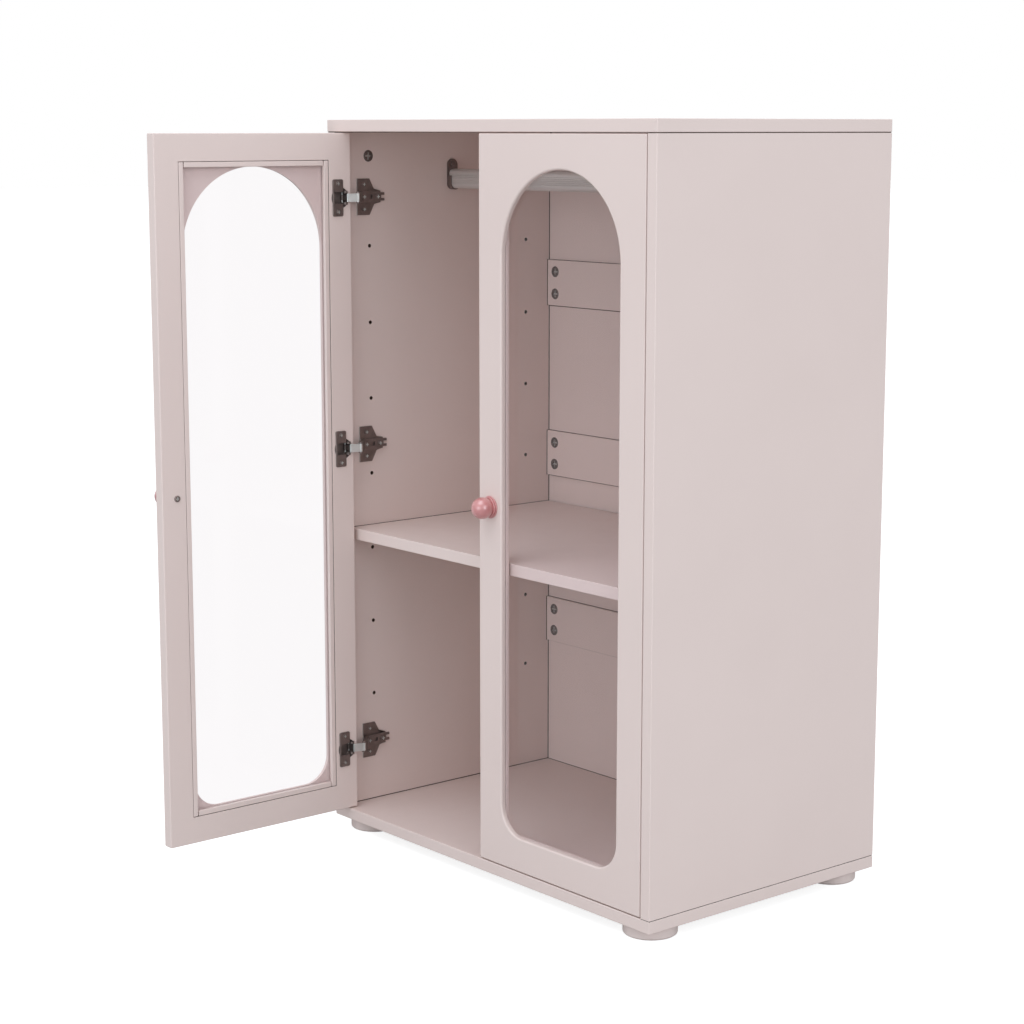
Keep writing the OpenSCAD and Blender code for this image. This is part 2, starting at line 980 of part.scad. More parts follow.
module mounting_plate() {
    wing = [[plate_front, plate_h / 2], [plate_wing_v, plate_h / 2]];
    root = [[plate_foot_v, 0], [plate_front, 0]];
    seat_h = arm_h + 2 * arm_gap;
    difference() {
        union() {
            for (end = [0, 1])
                mirror([0, 0, end])
                    along_u(plate_wing_t)
                        polygon(concat(wing, plate_tail, root));
            block([0, plate_front, -seat_h / 2], [plate_t, plate_seat_v, seat_h / 2]);
        }
        plate_screws(fastener_fit);
        arm_screws(fastener_fit);
    }
}

module plate_screws(fit) {
    for (rise = [-plate_screw_rise, plate_screw_rise])
        translate([0, plate_screw_v, rise]) {
            bar_x(plate_head_r + fit, plate_wing_t, plate_wing_t + plate_head_t);
            bar_x(plate_screw_r + fit, -plate_screw_grip, plate_wing_t + over / 2);
        }
}

module arm_screws(fit) {
    for (v = arm_screw_vs)
        translate([0, v, 0]) {
            bar_x(arm_head_r + fit, arm_top, arm_top + arm_head_t);
            bar_x(arm_screw_r + fit, arm_seat_lift, arm_top + over / 2);
        }
}

module hinge_cups(side) {
    color(nickel_dark)
    door_pose(side)
        each_hinge()
            hinge_cup();
}

module cup_pins(side) {
    color(zinc_bright)
    door_pose(side)
        each_hinge()
            upright_pin(cup_pin, pin_r, cup_pin_len);
}

module cup_screw_set(side) {
    color(zinc_bright)
    door_pose(side)
        each_hinge()
            cup_screws(0);
}

module hinge_links(side) {
    color(zinc_bright)
    link_pose(side)
        each_hinge()
            hinge_link();
}

module hinge_arms(side) {
    color(nickel_dark)
    at_side(side)
        each_hinge()
            hinge_arm();
}

module arm_pins(side) {
    color(zinc_bright)
    at_side(side)
        each_hinge()
            upright_pin(arm_pin, pin_r, arm_h);
}

module mounting_plates(side) {
    color(nickel_dark)
    at_side(side)
        each_hinge()
            mounting_plate();
}

// Modules named for their nodes

module left_side() {
    side_board(-1);
}

module right_side() {
    side_board(1);
}

module rod_socket_screws() {
    color(zinc_bright)
    for (side = [-1, 1])
        at_side(side)
            socket_screw(0);
}

module foot_screws() {
    color(zinc_bright)
    all_foot_screws(0);
}

module dowels() {
    color(beech)
    dowel_set(0);
}

module bottom_screws() {
    color(zinc_bright)
    bottom_screw_set(0);
}

module bead_pin_set(side) {
    color(zinc_bright)
    door_pose(side)
        bead_pins(0);
}

module hinge_plate_screws() {
    color(zinc_bright)
    for (side = [-1, 1])
        at_side(side)
            each_hinge()
                plate_screws(0);
}

module hinge_arm_screws() {
    color(zinc_bright)
    for (side = [-1, 1])
        at_side(side)
            each_hinge()
                arm_screws(0);
}

top_board();
bottom_board();
left_side();
right_side();
back_rail(2);  // back_rail_upper
back_rail(1);  // back_rail_middle
back_rail(0);  // back_rail_lower
back_panel(3);  // back_panel_top
back_panel(2);  // back_panel_upper
back_panel(1);  // back_panel_lower
back_panel(0);  // back_panel_bottom
shelf();
hanging_rod();
rod_socket(-1);  // left_rod_socket
rod_socket(1);  // right_rod_socket
rod_socket_screws();
foot(-1, -1);  // front_left_foot
foot(1, -1);  // front_right_foot
foot(-1, 1);  // rear_left_foot
foot(1, 1);  // rear_right_foot
foot_screws();
all_cams("lock");  // cam_locks
all_cams("bolt");  // cam_bolts
dowels();
bottom_screws();
door_panel(-1);  // left_door_panel
door_glass(-1);  // left_glass
top_bead(-1);  // left_top_bead
bottom_bead(-1);  // left_bottom_bead
hinge_side_bead(-1);  // left_hinge_side_bead
free_side_bead(-1);  // left_free_side_bead
bead_pin_set(-1);  // left_bead_pins
knob(-1);  // left_knob
knob_screw(-1);  // left_knob_screw
door_panel(1);  // right_door_panel
door_glass(1);  // right_glass
top_bead(1);  // right_top_bead
bottom_bead(1);  // right_bottom_bead
hinge_side_bead(1);  // right_hinge_side_bead
free_side_bead(1);  // right_free_side_bead
bead_pin_set(1);  // right_bead_pins
knob(1);  // right_knob
knob_screw(1);  // right_knob_screw
hinge_cups(-1);  // left_hinge_cups
cup_pins(-1);  // left_cup_pins
cup_screw_set(-1);  // left_cup_screws
hinge_links(-1);  // left_hinge_links
hinge_arms(-1);  // left_hinge_arms
arm_pins(-1);  // left_arm_pins
mounting_plates(-1);  // left_mounting_plates
hinge_cups(1);  // right_hinge_cups
cup_pins(1);  // right_cup_pins
cup_screw_set(1);  // right_cup_screws
hinge_links(1);  // right_hinge_links
hinge_arms(1);  // right_hinge_arms
arm_pins(1);  // right_arm_pins
mounting_plates(1);  // right_mounting_plates
hinge_plate_screws();
hinge_arm_screws();
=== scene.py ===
import json
from math import cos, pi, radians, sin

import bmesh
import bpy
from mathutils import Matrix, Vector

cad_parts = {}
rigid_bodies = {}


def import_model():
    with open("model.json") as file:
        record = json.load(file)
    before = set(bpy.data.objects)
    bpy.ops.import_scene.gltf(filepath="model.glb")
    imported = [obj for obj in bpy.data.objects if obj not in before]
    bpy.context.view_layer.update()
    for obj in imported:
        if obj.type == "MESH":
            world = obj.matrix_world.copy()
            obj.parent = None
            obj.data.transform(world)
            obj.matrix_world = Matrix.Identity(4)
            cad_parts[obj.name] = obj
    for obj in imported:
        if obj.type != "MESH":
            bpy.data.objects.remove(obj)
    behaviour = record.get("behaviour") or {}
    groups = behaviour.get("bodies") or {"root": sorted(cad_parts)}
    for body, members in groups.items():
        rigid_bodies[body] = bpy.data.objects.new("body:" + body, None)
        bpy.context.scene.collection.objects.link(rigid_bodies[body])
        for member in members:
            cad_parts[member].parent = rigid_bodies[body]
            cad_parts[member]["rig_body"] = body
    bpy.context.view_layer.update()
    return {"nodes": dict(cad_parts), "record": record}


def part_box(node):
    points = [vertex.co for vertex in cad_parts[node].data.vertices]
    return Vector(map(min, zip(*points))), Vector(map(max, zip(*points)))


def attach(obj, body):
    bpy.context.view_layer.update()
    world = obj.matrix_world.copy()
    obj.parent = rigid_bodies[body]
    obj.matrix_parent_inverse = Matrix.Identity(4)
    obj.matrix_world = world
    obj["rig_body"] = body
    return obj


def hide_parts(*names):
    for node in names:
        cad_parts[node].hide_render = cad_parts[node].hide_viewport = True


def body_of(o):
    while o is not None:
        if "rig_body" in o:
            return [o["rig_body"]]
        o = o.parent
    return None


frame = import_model()
slotOf = {part["node"]: part["material_slot"] for part in frame["record"]["subparts"]}
mm = 0.001
hair = 0.01 * mm    # what lies nearer than this counts as touching
print("frame loaded:", len(frame["nodes"]), "nodes")


# Colour and node helpers

def linear(hexColour):
    # sRGB hex to the linear values that shaders take
    shares = [int(hexColour[i:i + 2], 16) / 255 for i in (1, 3, 5)]
    return [s / 12.92 if s <= 0.04045 else ((s + 0.055) / 1.055) ** 2.4 for s in shares] + [1]


def addNode(tree, kind, inputs=None, **settings):
    # inputs holds plain values and the sockets to link from
    made = tree.nodes.new("ShaderNode" + kind)
    for name, value in settings.items():
        setattr(made, name, value)
    for socket, value in (inputs or {}).items():
        if isinstance(value, bpy.types.NodeSocket):
            tree.links.new(value, made.inputs[socket])
        else:
            made.inputs[socket].default_value = value
    return made


# Materials

def newMaterial(name, settings):
    # a material whose shader has its plain values
    material = bpy.data.materials.new(name)
    material.use_nodes = True
    shader = material.node_tree.nodes["Principled BSDF"]
    for socket, value in settings.items():
        shader.inputs[socket].default_value = value
    return material, material.node_tree, shader


noise = {"detail": 4.0, "lowest": 0.3, "highest": 0.7}    # nearly all of it lies between


def surface(name, look):
    # colour, sheen and relief each follow a noise of their own real size, in metres
    material, tree, shader = newMaterial(name, look["shader"])
    place = addNode(tree, "TexCoord").outputs["Object"]
    stretch = {"Vector": place, "Scale": look.get("stretch", (1, 1, 1))}
    along = addNode(tree, "Mapping", stretch).outputs[0]
    spots = [
        addNode(tree, "TexNoise", {"Vector": along, "Scale": 1 / size, "Detail": noise["detail"]})
        for size in look["sizes"]
    ]
    cloud, sheen, grain = [spot.outputs["Fac"] for spot in spots]
    span = {1: noise["lowest"], 2: noise["highest"]}
    share = addNode(tree, "MapRange", {"Value": cloud, **span}).outputs[0]
    first, second = [linear(colour) for colour in look["colours"]]
    base = addNode(tree, "Mix", {0: share, 6: first, 7: second}, data_type="RGBA")
    low, high = look["roughness"]
    rough = addNode(tree, "MapRange", {"Value": sheen, **span, 3: low, 4: high})
    strength, depth = look["relief"]
    bump = addNode(tree, "Bump", {"Height": grain, "Strength": strength, "Distance": depth * mm})
    tree.links.new(base.outputs[2], shader.inputs["Base Color"])
    tree.links.new(rough.outputs[0], shader.inputs["Roughness"])
    tree.links.new(bump.outputs[0], shader.inputs["Normal"])
    return material


# satin pigmented lacquer sprayed on board: a soft broad sheen, faint cloudiness and orange peel,
# which is drawn coarser than its real 1 mm so that it shows
paint = {
    "colours": ("#E2CEC7", "#E0CCC5"), "sizes": (0.12, 0.03, 0.003),
    "roughness": (0.4, 0.5), "relief": (0.06, 0.02), "shader": {"IOR": 1.48},
}
boardLacquer = surface("satinLacquerBoards", paint)
doorLacquer = surface("satinLacquerDoors", {**paint, "roughness": (0.36, 0.46)})
footLacquer = surface("satinLacquerFeet", {**paint, "colours": ("#DFCDC7", "#DCC9C3")})

# unpainted fibreboard in joints and drilled holes: brown and fuzzy, so seams look dark; it is also
# laid as painted shade in thin lines just past where boards meet
rawBoardAndPaintedShade = surface("rawFibreboard", {
    "colours": ("#5A4536", "#463428"), "sizes": (0.0012, 0.004, 0.0012),
    "roughness": (0.8, 0.9), "relief": (0.4, 0.05), "shader": {"IOR": 1.45},
})

# turned wood dipped in enamel: broad soft highlights on a thick, slightly uneven coat
enamel = surface("pinkGlossEnamel", {
    "colours": ("#C97F7E", "#C27675"), "sizes": (0.011, 0.02, 0.004),
    "roughness": (0.19, 0.26), "relief": (0.15, 0.04),
    "shader": {"IOR": 1.5, "Coat Weight": 1.0, "Coat Roughness": 0.3, "Coat IOR": 1.9},
})

# black nickel on pressed steel: dark, warm grey, half polished by tumbling
blackNickel = surface("blackNickelSteel", {
    "colours": ("#8C807C", "#7D726E"), "sizes": (0.009, 0.0014, 0.0014),
    "roughness": (0.34, 0.5), "relief": (0.25, 0.03), "shader": {"Metallic": 0.85},
})

# bright zinc on steel: pale and cool, with a soft blur
brightZinc = surface("brightZincSteel", {
    "colours": ("#DCDEDB", "#CBCDCB"), "sizes": (0.01, 0.0016, 0.0016),
    "roughness": (0.3, 0.45), "relief": (0.25, 0.03), "shader": {"Metallic": 1.0},
})

# die-cast zinc: dull dark grey and a little rough from the mould
castZinc = surface("dieCastZinc", {
    "colours": ("#857D79", "#746C68"), "sizes": (0.011, 0.0018, 0.0018),
    "roughness": (0.38, 0.55), "relief": (0.25, 0.03), "shader": {"Metallic": 1.0},
})

# drawn and anodised aluminium: a milky skin over metal, with lines along the rod
drawnAluminium = surface("anodisedAluminium", {
    "colours": ("#DAD4D0", "#CCC6C2"), "sizes": (0.006, 0.0009, 0.0009),
    "roughness": (0.42, 0.55), "relief": (0.25, 0.02), "stretch": (0.03, 1, 1),
    "shader": {"Metallic": 0.6},
})

# painted highlight: a pale, dull zinc on the plates' cut edges, the cups' flanges and in the cams'
# crosses, so they look lit
wornZinc = surface("wornZinc", {
    "colours": ("#C4BEBA", "#B4AEAA"), "sizes": (0.006, 0.0016, 0.0016),
    "roughness": (0.5, 0.65), "relief": (0.25, 0.03), "shader": {"Metallic": 0.35},
})

# plain beech dowel: pale, with fine straight grain along its length
beech = surface("beechDowelWood", {
    "colours": ("#DDBE93", "#C59F70"), "sizes": (0.0016, 0.005, 0.0016),
    "roughness": (0.55, 0.65), "relief": (0.3, 0.05), "stretch": (1, 1, 0.08),
    "shader": {"IOR": 1.5},
})


# clear float glass: faint sharp reflections with a barely uneven surface
pane = {
    "colour": "#FCFAFB", "reflection": "#707070", "passing": "#FDFBFC",
    "waves": 125 * mm, "waveDetail": 1.0, "relief": (0.05, 0.02),
}


def floatGlass():
    # shadow and diffuse rays go straight through, so lamps light what is behind it
    material, tree, shader = newMaterial("clearFloatGlass", {
        "Base Color": linear(pane["colour"]), "Roughness": 0.0, "IOR": 1.5,
        "Specular Tint": linear(pane["reflection"]), "Transmission Weight": 1.0,
    })
    place = addNode(tree, "TexCoord").outputs["Object"]
    waviness = {"Vector": place, "Scale": 1 / pane["waves"], "Detail": pane["waveDetail"]}
    height = addNode(tree, "TexNoise", waviness).outputs["Fac"]
    strength, depth = pane["relief"]
    bump = addNode(tree, "Bump", {"Height": height, "Strength": strength, "Distance": depth * mm})
    tree.links.new(bump.outputs[0], shader.inputs["Normal"])
    path = addNode(tree, "LightPath").outputs
    soft = {0: path["Is Shadow Ray"], 1: path["Is Diffuse Ray"]}
    passing = addNode(tree, "Math", soft, operation="MAXIMUM").outputs[0]
    clear = addNode(tree, "BsdfTransparent", {"Color": linear(pane["passing"])}).outputs[0]
    mix = addNode(tree, "MixShader", {0: passing, 1: shader.outputs[0], 2: clear})
    tree.links.new(mix.outputs[0], tree.nodes["Material Output"].inputs["Surface"])
    return material


glass = floatGlass()
print("materials made:", len(bpy.data.materials))


# Places: side is -1 for the left and 1 for the right, and the stored doors give their own sizes

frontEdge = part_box("left_side")[0].y
doorLow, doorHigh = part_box("right_door_panel")
doorWide, doorThick, doorTall = doorHigh - doorLow


def sideName(side):
    return "right" if side > 0 else "left"


def onDoor(side):
    # s runs from the door's hinge edge, v backwards through it, z up from its lower edge
    low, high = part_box(sideName(side) + "_door_panel")
    if side > 0:
        return Matrix(((-1, 0, 0, high.x), (0, 1, 0, low.y), (0, 0, 1, low.z), (0, 0, 0, 1)))
    return Matrix(((0, 1, 0, low.x), (-1, 0, 0, high.y), (0, 0, 1, low.z), (0, 0, 0, 1)))


def overDoorEdge(height):
    # from a height over the bottom board's underside to one over the door's lower edge
    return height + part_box("bottom_board")[0].z - doorLow.z


# Helpers for all pieces

def camel(nodeName):
    first, *rest = nodeName.split("_")
    return first + "".join(word.capitalize() for word in rest)


def newObject(name, data):
    made = bpy.data.objects.new(name, data)
    bpy.context.scene.collection.objects.link(made)
    return made


def finishPiece(bm, nodes, materials, name=None, sharp=35):
    # makes the object, hides the nodes it stands for and lets it ride where they ride
    bmesh.ops.recalc_face_normals(bm, faces=bm.faces)
    if bm.calc_volume(signed=True) < 0:
        bmesh.ops.reverse_faces(bm, faces=bm.faces)
    bmesh.ops.triangulate(bm, faces=[face for face in bm.faces if len(face.verts) > 4])
    bm.normal_update()
    for face in bm.faces:
        face.smooth = True
    for edge in bm.edges:
        edge.smooth = edge.is_manifold and edge.calc_face_angle(0) < radians(sharp)
    mesh = bpy.data.meshes.new(name or camel(nodes[0]))
    bm.to_mesh(mesh)
    bm.free()
    for material in materials:
        mesh.materials.append(material)
    piece = newObject(mesh.name, mesh)
    weighted = piece.modifiers.new("evenShading", "WEIGHTED_NORMAL")
    weighted.keep_sharp = True
    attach(piece, body_of(frame["nodes"][nodes[0]])[0])
    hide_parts(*nodes)


def nodeCopy(nodeName, weld=0.001 * mm, flat=0.3):
    # the node's triangles, merged, with flat stretches as single faces
    bm = bmesh.new()
    bm.from_mesh(frame["nodes"][nodeName].data)
    bmesh.ops.remove_doubles(bm, verts=bm.verts, dist=weld)
    bmesh.ops.dissolve_limit(
        bm, angle_limit=radians(flat), verts=bm.verts, edges=bm.edges, delimit={"NORMAL"}
    )
    bm.normal_update()
    return bm


smallSteps = 2    # segments of an arris that is too small to look round


def roundEdges(bm, edges, width, segments=3):
    bmesh.ops.bevel(
        bm, geom=edges, offset=width, offset_type="OFFSET", segments=segments, profile=0.5,
        affect="EDGES", clamp_overlap=False, material=-1,
    )


def boxEdges(bm, low, high):
    # edges that lie on two outer faces of the box
    found = []
    for edge in bm.edges:
        planes = 0
        for axis in range(3):
            for bound in (low[axis], high[axis]):
                planes += all(abs(vert.co[axis] - bound) < hair for vert in edge.verts)
        if planes > 1:
            found.append(edge)
    return found


def sharpEdges(bm, angle=35):
    bm.normal_update()
    joining = [edge for edge in bm.edges if len(edge.link_faces) == 2]
    return [edge for edge in joining if edge.calc_face_angle(0) > radians(angle)]


def onPlanes(items, planes):
    # what lies in one of the planes, each an axis and a place on it
    found = []
    for item in items:
        verts = getattr(item, "verts", [item])
        if any(all(abs(v.co[axis] - at) < hair for v in verts) for axis, at in planes):
            found.append(item)
    return found


def planesOf(low, high, ends):
    # ends such as "xZ" mean the low end along x and the high end along z
    axes = ["xyz".index(end.lower()) for end in ends]
    return [
        (axis, low[axis] if end.islower() else high[axis]) for axis, end in zip(axes, ends)
    ]


def pullIn(bm, low, high, ends, amount):
    # draws whole faces back from what they meet; gives the new box
    low, high = low.copy(), high.copy()
    for end in ends:
        (axis, at), = planesOf(low, high, end)
        corner, way = (low, amount) if end.islower() else (high, -amount)
        for vert in onPlanes(bm.verts, [(axis, at)]):
            vert.co[axis] += way
        corner[axis] += way
    return low, high


def cutAcross(bm, faces, axis, at):
    # scores a line across faces, where the paint can stop
    edges = dict.fromkeys(edge for face in faces for edge in face.edges)
    verts = dict.fromkeys(vert for face in faces for vert in face.verts)
    normal = Vector([float(i == axis) for i in range(3)])
    bmesh.ops.bisect_plane(
        bm, geom=[*verts, *edges, *faces], plane_co=normal * at, plane_no=normal
    )


# Boards: the nodes' own shapes with their holes and grooves, arrises eased and painted

boards = {
    "arris": 0.9 * mm,
    "thinArris": 0.5 * mm,
    "arrisSteps": 4,
    "lap": 0.1 * mm,         # how far a filling or the paint runs past an edge
    "seam": 1.0 * mm,        # a joint stands open by this much, which draws its dark line
    "seamDepth": 3.2 * mm,   # and is filled from here inwards, in front of the dowels
    "topDepth": 1.2 * mm,    # under the top board, where the line is paler
    "rearDepth": 0.3 * mm,   # at the back, where the filling closes the joint
    "bareRim": 0.5 * mm,     # painted shade: the bare-wood colour runs this far round what stands on a board
    "panelSeam": 1.1 * mm,
    "panelBare": 5.1 * mm,   # a panel's margin in its grooves, where the paint stops, running a little past them as painted shade
    "underRail": 0.9 * mm,   # how much lower it stops under a rail, whose shade it draws
    "pieces": {
        # the ends that butt against another board
        "top_board": "", "bottom_board": "", "left_side": "zZ", "right_side": "zZ",
        "shelf": "xXY", "back_rail_upper": "xX", "back_rail_middle": "xX", "back_rail_lower": "xX",
    },
    "panels": ["back_panel_top", "back_panel_upper", "back_panel_lower", "back_panel_bottom"],
    "met": {
        # the face on which others stand, and what stands on it
        "left_side": ("X", ["shelf", "back_rail_upper", "back_rail_middle", "back_rail_lower"]),
        "right_side": ("x", ["shelf", "back_rail_upper", "back_rail_middle", "back_rail_lower"]),
        "bottom_board": ("Z", ["left_side", "right_side"]),
    },
}


def fillJoint(bm, box, end):
    # a slab inside the joint, back from its rim
    axis = "xyz".index(end.lower())
    depth = boards["topDepth" if end == "Z" else "seamDepth"]
    thick = boards["seam"] + boards["lap"]
    low, high = [corner.copy() for corner in box]
    for other in range(3):
        if other != axis:
            low[other] += depth
            high[other] -= boards["rearDepth"] if other == 1 else depth
    if end.islower():
        high[axis] = low[axis] + thick
    else:
        low[axis] = high[axis] - thick
    place = Matrix.Translation((low + high) / 2) @ Matrix.Diagonal((*(high - low), 1))
    return bmesh.ops.create_cube(bm, size=1, matrix=place)["verts"]


def bareAndShadeWhereMet(bm, nodeName):
    # paint stops where another board stands, and the rim round it is painted shade; together they
    # draw its dark line
    end, others = boards["met"][nodeName]
    plane = planesOf(*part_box(nodeName), end)
    around = [i for i in range(3) if i != plane[0][0]]
    rim = boards["bareRim"]
    for other in others:
        low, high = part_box(other)
        for i in around:
            for at in (low[i] - rim, high[i] + rim):
                cutAcross(bm, onPlanes(bm.faces, plane), i, at)
        # faces under the other board are bare wood, and those in the rim round it are painted
        # shade
        for face in onPlanes(bm.faces, plane):
            middle = face.calc_center_median()
            if all(low[i] - rim < middle[i] < high[i] + rim for i in around):
                face.material_index = 1


def board(nodeName, butts):
    bm = nodeCopy(nodeName)
    low, high = pullIn(bm, *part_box(nodeName), butts, boards["seam"])
    planes = planesOf(low, high, butts)
    arris = boards["thinArris"] if "rail" in nodeName else boards["arris"]
    free = [e for e in boxEdges(bm, low, high) if not onPlanes([e], planes)]
    roundEdges(bm, free, arris, boards["arrisSteps"])
    for face in bm.faces:
        middle = face.calc_center_median()
        depth = min(min(middle[i] - low[i], high[i] - middle[i]) for i in range(3))
        sawn = onPlanes([face], planes) or depth >= arris + boards["lap"]
        face.material_index = 1 if sawn else 0
    if nodeName in boards["met"]:
        bareAndShadeWhereMet(bm, nodeName)
    for end in butts:
        slab = fillJoint(bm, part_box(nodeName), end)
        for face in {face for vert in slab for face in vert.link_faces}:
            face.material_index = 1
    name = "fixedShelf" if nodeName == "shelf" else None
    finishPiece(bm, [nodeName], [boardLacquer, rawBoardAndPaintedShade], name)


def backPanel(nodeName):
    bm = nodeCopy(nodeName)
    low, high = pullIn(bm, *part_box(nodeName), "y", boards["panelSeam"])
    roundEdges(bm, boxEdges(bm, low, high), boards["thinArris"], smallSteps)
    bareAndShade = boards["panelBare"]
    high.z -= boards["underRail"]
    for axis in (0, 2):
        for at in (low[axis] + bareAndShade, high[axis] - bareAndShade):
            cutAcross(bm, bm.faces[:], axis, at)
    # the margins stay bare inside the grooves, and the strip just past them is painted shade
    for face in bm.faces:
        middle = face.calc_center_median()
        outside = [not low[i] + bareAndShade < middle[i] < high[i] - bareAndShade for i in (0, 2)]
        face.material_index = 1 if any(outside) else 0
    finishPiece(bm, [nodeName], [boardLacquer, rawBoardAndPaintedShade])


for nodeName, butts in boards["pieces"].items():
    board(nodeName, butts)
for nodeName in boards["panels"]:
    backPanel(nodeName)
print("boards eased and painted")


# Doors: one panel each with a rounded arch in front of a square rebate

door = {
    "archRound": 2.4 * mm,
    "archSteps": 56,
    "cornerRadius": 36 * mm,
    "cornerSteps": 14,
    "roundSteps": 5,
    "arris": 1.2 * mm,
    "arrisSteps": 4,
    "rebateArris": 0.4 * mm,
    "beads": ["top_bead", "bottom_bead", "hinge_side_bead", "free_side_bead"],
    "beadArris": 0.8 * mm,
    "beadSeam": 0.6 * mm,    # draws the lines round the beads
    "glassGap": 0.1 * mm,    # air between the pane and the rebate, so the paint shows evenly
    "glassArris": 0.3 * mm,
    "archLift": 0.75 * mm,   # the arch's top over the top bead's lower edge
    "cupInset": 16.9 * mm,   # from the door's hinge edge to a cup's middle
    "cupRadius": 13.05 * mm,  # the hole bored for a cup
    "cupDepth": 11.35 * mm,
    "cupSteps": 40,
    "hingeZs": [98.5 * mm, 501.7 * mm, 825.5 * mm],    # over the bottom board's underside
}


def arcEdges(bm, start, centre, sweep, steps):
    # spins one vertex about an axis that runs through the door; gives its verts in order
    first = bm.verts.new(start)
    bmesh.ops.spin(bm, geom=[first], cent=centre, axis=(0, 1, 0), angle=sweep, steps=steps)
    verts = [first]
    while True:
        nexts = [e.other_vert(verts[-1]) for e in verts[-1].link_edges]
        nexts = [v for v in nexts if v not in verts]
        if not nexts:
            return verts
        verts.append(nexts[0])


def archLoop(bm, width, low, top, middle, depth, grow):
    # the arch's outline at one depth, made larger all round by grow
    radius = width / 2
    spring = top - radius
    corner = door["cornerRadius"]
    r, c = radius + grow, corner + grow
    arch = arcEdges(
        bm, (middle - r, depth, spring), (middle, depth, spring), pi, door["archSteps"]
    )
    rightCentre = (middle + radius - corner, depth, low + corner)
    right = arcEdges(
        bm, (rightCentre[0] + c, depth, rightCentre[2]), rightCentre, pi / 2, door["cornerSteps"]
    )
    leftCentre = (middle - radius + corner, depth, low + corner)
    left = arcEdges(
        bm, (leftCentre[0], depth, leftCentre[2] - c), leftCentre, pi / 2, door["cornerSteps"]
    )
    ring = arch + right + left
    for first, second in ((arch[-1], right[0]), (right[-1], left[0]), (left[-1], arch[0])):
        bm.edges.new((first, second))
    return [bm.edges.get((a, b)) for a, b in zip(ring, ring[1:] + ring[:1])]


def rectangleLoop(bm, left, right, low, high, depth):
    corners = [(left, low), (right, low), (right, high), (left, high)]
    verts = [bm.verts.new((x, depth, z)) for x, z in corners]
    return [bm.edges.new((a, b)) for a, b in zip(verts, verts[1:] + verts[:1])]


def circleLoop(bm, radius, place, steps):
    turn = Matrix.Translation(place) @ Matrix.Rotation(pi / 2, 4, "X")
    made = bmesh.ops.create_circle(bm, segments=steps, radius=radius, matrix=turn)
    return list(dict.fromkeys(edge for vert in made["verts"] for edge in vert.link_edges))


def fillFlat(bm, edges, flat=1):
    # fills between loops that lie in one plane, in as few faces as it can
    made = bmesh.ops.triangle_fill(bm, edges=edges, use_beauty=True)["geom"]
    faces = [g for g in made if isinstance(g, bmesh.types.BMFace)]
    inner = dict.fromkeys(edge for face in faces for edge in face.edges)
    for edge in edges:
        inner.pop(edge, None)
    bmesh.ops.dissolve_limit(bm, angle_limit=radians(flat), verts=[], edges=list(inner))


def sink(bm, edges, way):
    # extrudes loops and moves the new ones; gives the new loop's edges
    made = bmesh.ops.extrude_edge_only(bm, edges=edges)["geom"]
    verts = [g for g in made if isinstance(g, bmesh.types.BMVert)]
    bmesh.ops.translate(bm, verts=verts, vec=way)
    news = [g for g in made if isinstance(g, bmesh.types.BMEdge)]
    return [edge for edge in news if all(vert in verts for vert in edge.verts)]


def archWalls(bm, glassFront):
    # the arch's rounded front edge and its wall, between the beads' inner edges
    fromRight = onDoor(1).inverted()
    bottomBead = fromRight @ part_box("right_bottom_bead")[1]
    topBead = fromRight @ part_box("right_top_bead")[0]
    top = topBead.z + door["archLift"]
    outline = (doorWide - 2 * bottomBead.x, bottomBead.z, top, doorWide / 2)
    loops = []
    for step in range(door["roundSteps"] + 1):
        turn = pi / 2 * step / door["roundSteps"]
        grow = door["archRound"] * (1 - sin(turn))
        depth = door["archRound"] * (1 - cos(turn))
        loops.append(archLoop(bm, *outline, depth, grow))
    loops.append(archLoop(bm, *outline, glassFront, 0))
    for first, second in zip(loops, loops[1:]):
        bmesh.ops.bridge_loops(bm, edges=first + second)
    return loops[0], loops[-1]


def doorPanel(side):
    # both doors have the right door's sizes
    fromRight = onDoor(1).inverted()
    glassFront = (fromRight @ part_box("right_glass")[0]).y
    border = (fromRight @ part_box("right_hinge_side_bead")[1]).x
    bm = bmesh.new()
    archFront, archBack = archWalls(bm, glassFront)
    frontRim = rectangleLoop(bm, 0, doorWide, 0, doorTall, 0)
    fillFlat(bm, frontRim + archFront)
    rebate = rectangleLoop(bm, border, doorWide - border, border, doorTall - border, glassFront)
    fillFlat(bm, rebate + archBack)
    rebateBack = sink(bm, rebate, (0, doorThick - glassFront, 0))
    backRim = rectangleLoop(bm, 0, doorWide, 0, doorTall, doorThick)
    cups = []
    for height in door["hingeZs"]:
        place = (door["cupInset"], doorThick, overDoorEdge(height))
        cups.append(circleLoop(bm, door["cupRadius"], place, door["cupSteps"]))
    fillFlat(bm, backRim + rebateBack + [edge for loop in cups for edge in loop])
    for loop in cups:
        floor = sink(bm, loop, (0, -door["cupDepth"], 0))
        bmesh.ops.edgeloop_fill(bm, edges=floor)
    bmesh.ops.bridge_loops(bm, edges=frontRim + backRim)
    corners = boxEdges(bm, (0, 0, 0), (doorWide, doorThick, doorTall))
    roundEdges(bm, corners, door["arris"], door["arrisSteps"])

    def inRebate(point):
        across = border - hair < point.x < doorWide - border + hair
        return across and border - hair < point.z < doorTall - border + hair

    backEdges = onPlanes(sharpEdges(bm), [(1, doorThick)])
    mouth = [edge for edge in backEdges if all(inRebate(vert.co) for vert in edge.verts)]
    roundEdges(bm, mouth, door["rebateArris"], smallSteps)
    for face in bm.faces:
        middle = face.calc_center_median()
        behind = glassFront + hair < middle.y < doorThick - door["rebateArris"]
        nearCup = abs(middle.x - door["cupInset"]) < door["cupRadius"]
        raw = (behind and inRebate(middle)) or (nearCup and glassFront > middle.y > hair)
        face.material_index = 1 if raw else 0
    bmesh.ops.transform(bm, matrix=onDoor(side), verts=bm.verts)
    finishPiece(bm, [sideName(side) + "_door_panel"], [doorLacquer, rawBoardAndPaintedShade])


